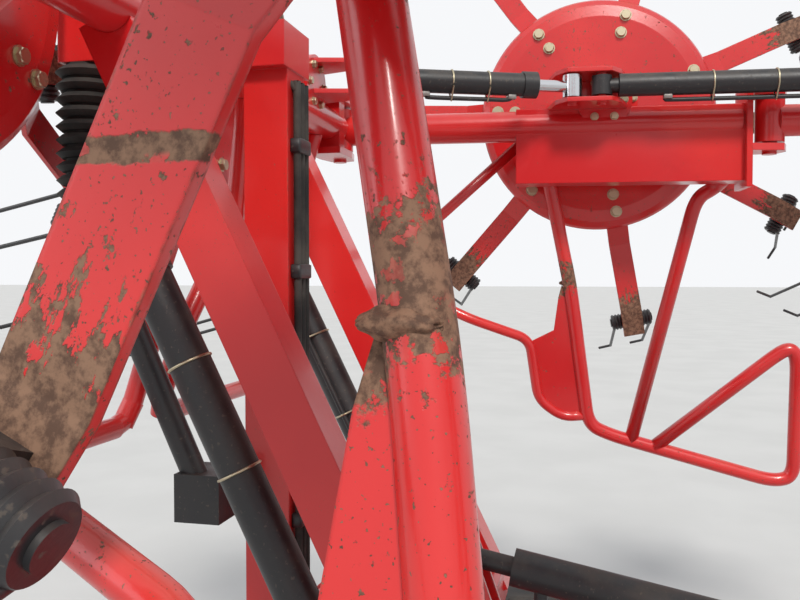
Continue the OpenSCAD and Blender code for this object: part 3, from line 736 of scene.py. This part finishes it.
weld_paint = Paint("bare_weld", Metallic=0.2)
lumps = weld_paint.noise(weld_paint.place(), 140.0, 6.0, 0.65)
weld_paint.feed("Base Color", weld_paint.blend(lumps.rise(0.38, 0.62), RUST, PALE_RUST))
weld_paint.feed("Roughness", 0.6 + lumps * 0.3)
weld_paint.bump(lumps, 0.0012)
for rotor in (near_rotor, far_rotor):
    axes = (rotor.x, rotor.y, rotor.z)
    weld(f"guard_weld_{rotor.number}", rotor.on_wing(*WELD_SPOT), WELD_HALF, axes,
         weld_paint.material, rotor.carrier)
print("welded two guard plates")

# %% [markdown]
# ## Tread and wheel nuts
# A tyre's shoulder falls away from its middle. Grooves can't be cut, because the tyre's mesh is the CAD's, so
# lugs fill that fall. Each is a brick that slants across the shoulder, no higher than the tyre's own radius, so
# the wheels still stand on the same ground. The eight corners of all lugs are worked out at once.

# %% Tread
ROAD_LUGS = dict(radius=0.3550, inner=0.056, outer=0.112, count=30)
GAUGE_LUGS = dict(radius=0.2000, inner=0.030, outer=0.062, count=20)
# A lug's lead from its inner to its outer end, and its breadth at foot and top, in steps from lug to lug.
LUG_LEAD, LUG_BREADTH = 0.28, np.array((0.52, 0.42))
# How far its foot and its top lie below the tyre's radius, each at the inner and at the outer end.
LUG_DEPTH = np.array(((0.0080, 0.0272), (0.0005, 0.0047)))
# The corners of its foot, as (across, edge), and the faces between those and the same four of its top.
LUG_CORNERS = np.array([(0, 0), (0, 1), (1, 1), (1, 0)])
LUG_FACES = np.array([(0, 1, 2, 3), (7, 6, 5, 4), (0, 4, 5, 1), (1, 5, 6, 2), (2, 6, 7, 3), (3, 7, 4, 0)])
NUTS, NUT_SIZE, NUT_CIRCLE, NUT_DEPTH = 5, 0.028, 0.108, 0.020


def wheel_axes(wheel):
    """A wheel's middle, its axle and two directions across the axle."""
    joint = joints[f"{wheel}_spin"]
    axle = np.array(joint["axis"], float)
    return (np.array(joint["pos_m"]), axle, *axes_about(axle)[1:])


def lug_ring(wheel, radius, inner, outer, count, material):
    """Lugs on both shoulders. Angles step evenly; one side is half a step ahead of the other.

    A corner lies at w along the axle and at r and an angle about it. across runs from the inner to the outer
    end, edge over the lug's breadth, and level from its foot to its top.
    """
    middle, axle, first, second = wheel_axes(wheel)
    side, k, level, corner = np.meshgrid((-1, 1), np.arange(count), (0, 1), np.arange(4), indexing="ij")
    across, edge = LUG_CORNERS.T[:, corner]
    w = side * (inner + across * (outer - inner))
    step = 2 * math.pi / count
    angle = (k + 0.25 * side + LUG_LEAD * across + (edge - 0.5) * LUG_BREADTH[level]) * step
    r = radius - LUG_DEPTH[level, across]
    w, angle, r = (value.reshape(-1, 1) for value in (w, angle, r))
    points = middle + w * axle + r * (np.cos(angle) * first + np.sin(angle) * second)
    faces = np.concatenate([np.tile(LUG_FACES[:, ::-1], (count, 1)), np.tile(LUG_FACES, (count, 1))])
    faces += 8 * np.repeat(np.arange(2 * count), len(LUG_FACES))[:, None]
    return mesh_piece(f"{wheel}_lugs", points, faces, material, wheel, smooth=False)


for wheel in [name for name in frame["nodes"] if "wheel" in name]:
    tyre = frame["nodes"][wheel].data.materials[0]
    if wheel.startswith("gauge"):
        lug_ring(wheel, material=tyre, **GAUGE_LUGS)
        continue
    lug_ring(wheel, material=tyre, **ROAD_LUGS)
    middle, axle, first, second = wheel_axes(wheel)
    outward = axle * (1 if middle[0] > 0 else -1)
    hub = middle - NUT_DEPTH * outward
    nuts = [(hub + NUT_CIRCLE * (math.cos(a) * first + math.sin(a) * second), outward)
            for a in np.arange(NUTS) * 2 * math.pi / NUTS]
    hex_heads(f"{wheel}_nuts", nuts, NUT_SIZE, zinc, wheel)
print("treads cut")

# %% [markdown]
# ## Floor and light
# A pale floor and an even backdrop stand for a studio. The backdrop looks white to the camera and in
# reflections, while its light on the object is softer. Two wide, far lamps give the shapes their light and
# shade and leave no bright spot on the floor.

# %% Stage
BACKDROP_LIGHT, BACKDROP_SEEN = (0.92, 0.95, 1.0, 1), (0.93, 0.94, 0.96, 1)
BACKDROP_STRENGTH = 0.52
# Name, direction, strength, spread in degrees and colour of each lamp.
LAMPS = (("key", (-6.0, -2.3, -6.1), 2.4, 12, (1.0, 0.97, 0.92)),
         ("fill", (-3.0, 6.0, -2.8), 0.5, 40, (0.92, 0.96, 1.0)))
FLOOR, FLOOR_TONES = 120.0, ((0.62, 0.62, 0.61), (0.66, 0.66, 0.65))


def studio_backdrop():
    """A world of two backgrounds: one for rays that show it, the other for rays that light the object."""
    world = bpy.data.worlds.new("studio")
    world.use_nodes = True
    bpy.context.scene.world = world
    tree = world.node_tree
    light = tree.nodes["Background"]
    light.inputs["Color"].default_value = BACKDROP_LIGHT
    light.inputs["Strength"].default_value = BACKDROP_STRENGTH
    seen = tree.nodes.new("ShaderNodeBackground")
    seen.inputs["Color"].default_value = BACKDROP_SEEN
    path = tree.nodes.new("ShaderNodeLightPath")
    looked_at = path.outputs["Is Camera Ray"]
    for ray in ("Is Glossy Ray", "Is Transmission Ray"):
        either = tree.nodes.new("ShaderNodeMath")
        either.operation = "MAXIMUM"
        tree.links.new(looked_at, either.inputs[0])
        tree.links.new(path.outputs[ray], either.inputs[1])
        looked_at = either.outputs[0]
    mixed = tree.nodes.new("ShaderNodeMixShader")
    tree.links.new(looked_at, mixed.inputs[0])
    tree.links.new(light.outputs[0], mixed.inputs[1])
    tree.links.new(seen.outputs[0], mixed.inputs[2])
    tree.links.new(mixed.outputs[0], tree.nodes["World Output"].inputs["Surface"])


def far_lamp(name, towards, strength, spread, colour):
    """A lamp so far away that it is as bright everywhere. Its spread, in degrees, softens the shadows."""
    lamp = bpy.data.objects.new(name, bpy.data.lights.new(name, "SUN"))
    lamp.data.energy, lamp.data.angle, lamp.data.color = strength, math.radians(spread), colour
    lamp.rotation_euler = Vector(towards).to_track_quat("-Z", "Y").to_euler()
    bpy.context.scene.collection.objects.link(lamp)


studio_backdrop()
for lamp in LAMPS:
    far_lamp(*lamp)

floor_paint = Paint("pale_floor", Roughness=0.8)
tone = floor_paint.noise(floor_paint.place(), 1.2, 3.0).rise(0.3, 0.7)
floor_paint.feed("Base Color", floor_paint.blend(tone, *FLOOR_TONES))
corners = np.array([(-1, -1, 0), (1, -1, 0), (1, 1, 0), (-1, 1, 0)]) * FLOOR
ground = bpy.data.meshes.new("floor")
ground.from_pydata(corners.tolist(), [], [(0, 1, 2, 3)])
ground.materials.append(floor_paint.material)
floor = bpy.data.objects.new("floor", ground)
bpy.context.scene.collection.objects.link(floor)
bpy.context.scene.view_settings.view_transform = "Standard"
print("stage set")
